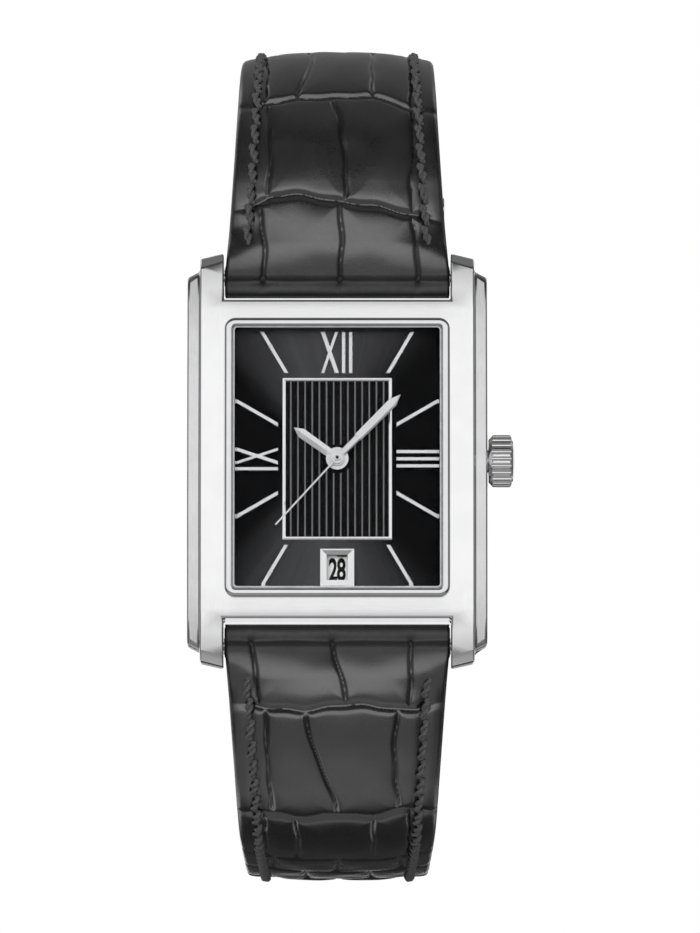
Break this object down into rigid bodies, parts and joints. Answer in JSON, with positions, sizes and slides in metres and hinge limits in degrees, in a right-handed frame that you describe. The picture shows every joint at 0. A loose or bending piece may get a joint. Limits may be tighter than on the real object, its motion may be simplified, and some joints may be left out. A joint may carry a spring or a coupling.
{
  "type": "rectangular wristwatch",
  "caption": "Rectangular steel wristwatch, unbuckled, with a stepped case, fluted dial panel, three hands, date window, fluted crown and padded black leather strap.",
  "frame": {"origin": "middle of the case back's outer face", "axes": "-Y is the way the dial faces, +Z points to 12 o'clock, +X to the crown at 3 o'clock; +Y points to the wrist"},
  "size_m": [0.0321, 0.0665, 0.0859],
  "materials": {
    "case_steel": "satin",
    "polished_steel": "polished",
    "back_steel": "satin",
    "watch_glass": "polished",
    "clear_nylon": "satin",
    "dial_black": "sunray satin",
    "panel_black": "satin",
    "marker_steel": "polished",
    "hand_steel": "polished",
    "date_white": "matt",
    "date_ink": "matt",
    "holder_plastic": "matt",
    "plate_brass": "satin",
    "wheel_brass": "satin",
    "screw_steel": "polished",
    "battery_steel": "satin",
    "board_green": "satin",
    "coil_copper": "satin",
    "soft_iron": "satin",
    "gasket_rubber": "matt",
    "spring_steel": "satin",
    "strap_leather": "semi-gloss crocodile grain",
    "lining_leather": "matt",
    "strap_thread": "matt"
  },
  "bodies": {
    "head": {"case_middle": "case_steel", "bezel_ring": "polished_steel", "crystal": "watch_glass", "crystal_gasket": "clear_nylon", "dial_flange": "dial_black", "dial": "dial_black", "centre_panel": "panel_black", "centre_panel_frame": "marker_steel", "hour_numerals": "marker_steel", "hour_bars": "marker_steel", "date_window_frame": "marker_steel", "movement_holder": "holder_plastic", "main_plate": "plate_brass", "train_bridge": "plate_brass", "bridge_screws": "screw_steel", "battery": "battery_steel", "battery_clamp": "plate_brass", "circuit_board": "board_green", "quartz_can": "battery_steel", "coil": "coil_copper", "stator": "soft_iron", "crown_tube": "spring_steel", "case_back": "back_steel", "case_back_gasket": "gasket_rubber", "case_back_screws": "polished_steel", "spring_bar_12": "spring_steel", "spring_bar_6": "spring_steel"},
    "tip_12_left": {"bar_tip_12_left": "spring_steel"},
    "tip_12_right": {"bar_tip_12_right": "spring_steel"},
    "tip_6_left": {"bar_tip_6_left": "spring_steel"},
    "tip_6_right": {"bar_tip_6_right": "spring_steel"},
    "hour_arbor": {"hour_hand": "hand_steel", "hour_wheel": "wheel_brass"},
    "minute_arbor": {"minute_hand": "hand_steel", "centre_wheel": "wheel_brass"},
    "second_arbor": {"second_hand": "hand_steel", "seconds_wheel": "wheel_brass"},
    "third_arbor": {"third_wheel": "wheel_brass"},
    "intermediate_arbor": {"intermediate_wheel": "wheel_brass"},
    "rotor_arbor": {"rotor": "soft_iron"},
    "minute_wheel_body": {"minute_wheel": "wheel_brass"},
    "date_wheel_body": {"date_wheel": "wheel_brass"},
    "date_disc": {"date_ring": "date_white"},
    "crown_slide": {"crown_gasket": "gasket_rubber"},
    "crown_turning": {"crown": "polished_steel", "stem": "spring_steel", "sliding_pinion": "spring_steel"},
    "strap_12": {"strap_12_leather": "strap_leather", "strap_12_lining": "lining_leather", "strap_12_stitching": "strap_thread", "fixed_keeper": "strap_leather", "buckle_bar": "polished_steel"},
    "keeper_loop": {"free_keeper": "strap_leather"},
    "buckle": {"buckle_frame": "polished_steel"},
    "tang": {"buckle_tang": "polished_steel"},
    "strap_6": {"strap_6_leather": "strap_leather", "strap_6_lining": "lining_leather", "strap_6_stitching": "strap_thread"}
  },
  "joints": [
    {"name": "minute_turn", "type": "hinge", "parent": "head", "child": "minute_arbor", "pos_m": [0, -0.005, 0], "axis": [0, 1, 0], "continuous": true},
    {"name": "hour_turn", "type": "hinge", "parent": "head", "child": "hour_arbor", "pos_m": [0, -0.005, 0], "axis": [0, 1, 0], "continuous": true},
    {"name": "second_turn", "type": "hinge", "parent": "head", "child": "second_arbor", "pos_m": [0, -0.005, 0], "axis": [0, 1, 0], "continuous": true},
    {"name": "third_wheel_turn", "type": "hinge", "parent": "head", "child": "third_arbor", "pos_m": [-0.00219, -0.0023, 0.0026], "axis": [0, 1, 0], "continuous": true},
    {"name": "intermediate_wheel_turn", "type": "hinge", "parent": "head", "child": "intermediate_arbor", "pos_m": [-0.00123, -0.0023, -0.00338], "axis": [0, 1, 0], "continuous": true},
    {"name": "rotor_turn", "type": "hinge", "parent": "head", "child": "rotor_arbor", "pos_m": [-0.00202, -0.0023, -0.00555], "axis": [0, 1, 0], "continuous": true},
    {"name": "minute_wheel_turn", "type": "hinge", "parent": "head", "child": "minute_wheel_body", "pos_m": [-0.0012, -0.0023, 0.00208], "axis": [0, 1, 0], "continuous": true},
    {"name": "date_wheel_turn", "type": "hinge", "parent": "head", "child": "date_wheel_body", "pos_m": [0.00288, -0.0023, -0.00499], "axis": [0, 1, 0], "continuous": true},
    {"name": "date_ring_turn", "type": "hinge", "parent": "head", "child": "date_disc", "pos_m": [0, -0.005, 0], "axis": [0, 1, 0], "continuous": true},
    {"name": "crown_pull", "type": "slide", "parent": "head", "child": "crown_slide", "axis": [1, 0, 0], "range_m": [0, 0.0009]},
    {"name": "crown_turn", "type": "hinge", "parent": "crown_slide", "child": "crown_turning", "pos_m": [0.016, -0.0029, 0], "axis": [1, 0, 0], "continuous": true},
    {"name": "bar_tip_12_left_slide", "type": "slide", "parent": "head", "child": "tip_12_left", "axis": [1, 0, 0], "range_m": [0, 0.001], "stiffness_N_per_m": 400},
    {"name": "bar_tip_12_right_slide", "type": "slide", "parent": "head", "child": "tip_12_right", "axis": [-1, 0, 0], "range_m": [0, 0.001], "stiffness_N_per_m": 400},
    {"name": "bar_tip_6_left_slide", "type": "slide", "parent": "head", "child": "tip_6_left", "axis": [1, 0, 0], "range_m": [0, 0.001], "stiffness_N_per_m": 400},
    {"name": "bar_tip_6_right_slide", "type": "slide", "parent": "head", "child": "tip_6_right", "axis": [-1, 0, 0], "range_m": [0, 0.001], "stiffness_N_per_m": 400},
    {"name": "strap_12_swing", "type": "hinge", "parent": "head", "child": "strap_12", "pos_m": [0, -0.0023, 0.0181], "axis": [1, 0, 0], "range_deg": [-3, 85]},
    {"name": "strap_6_swing", "type": "hinge", "parent": "head", "child": "strap_6", "pos_m": [0, -0.0023, -0.0181], "axis": [-1, 0, 0], "range_deg": [-3, 85]},
    {"name": "keeper_slide", "type": "hinge", "parent": "strap_12", "child": "keeper_loop", "pos_m": [0, 0.03569, 0.0234], "axis": [-1, 0, 0], "range_deg": [-7.5, 10.5]},
    {"name": "buckle_swing", "type": "hinge", "parent": "strap_12", "child": "buckle", "pos_m": [0, 0.05261, 0.03206], "axis": [1, 0, 0], "range_deg": [-20, 25]},
    {"name": "tang_swing", "type": "hinge", "parent": "buckle", "child": "tang", "pos_m": [0, 0.05261, 0.03206], "axis": [1, 0, 0], "range_deg": [0, 80]}
  ],
  "couplings": [
    {"joint": "hour_turn", "follows": "minute_turn", "ratio": 0.083333},
    {"joint": "second_turn", "follows": "minute_turn", "ratio": 60},
    {"joint": "third_wheel_turn", "follows": "minute_turn", "ratio": -8},
    {"joint": "intermediate_wheel_turn", "follows": "minute_turn", "ratio": -300},
    {"joint": "rotor_turn", "follows": "minute_turn", "ratio": 1800},
    {"joint": "minute_wheel_turn", "follows": "minute_turn", "ratio": -0.33333},
    {"joint": "date_wheel_turn", "follows": "minute_turn", "ratio": -0.041667}
  ]
}
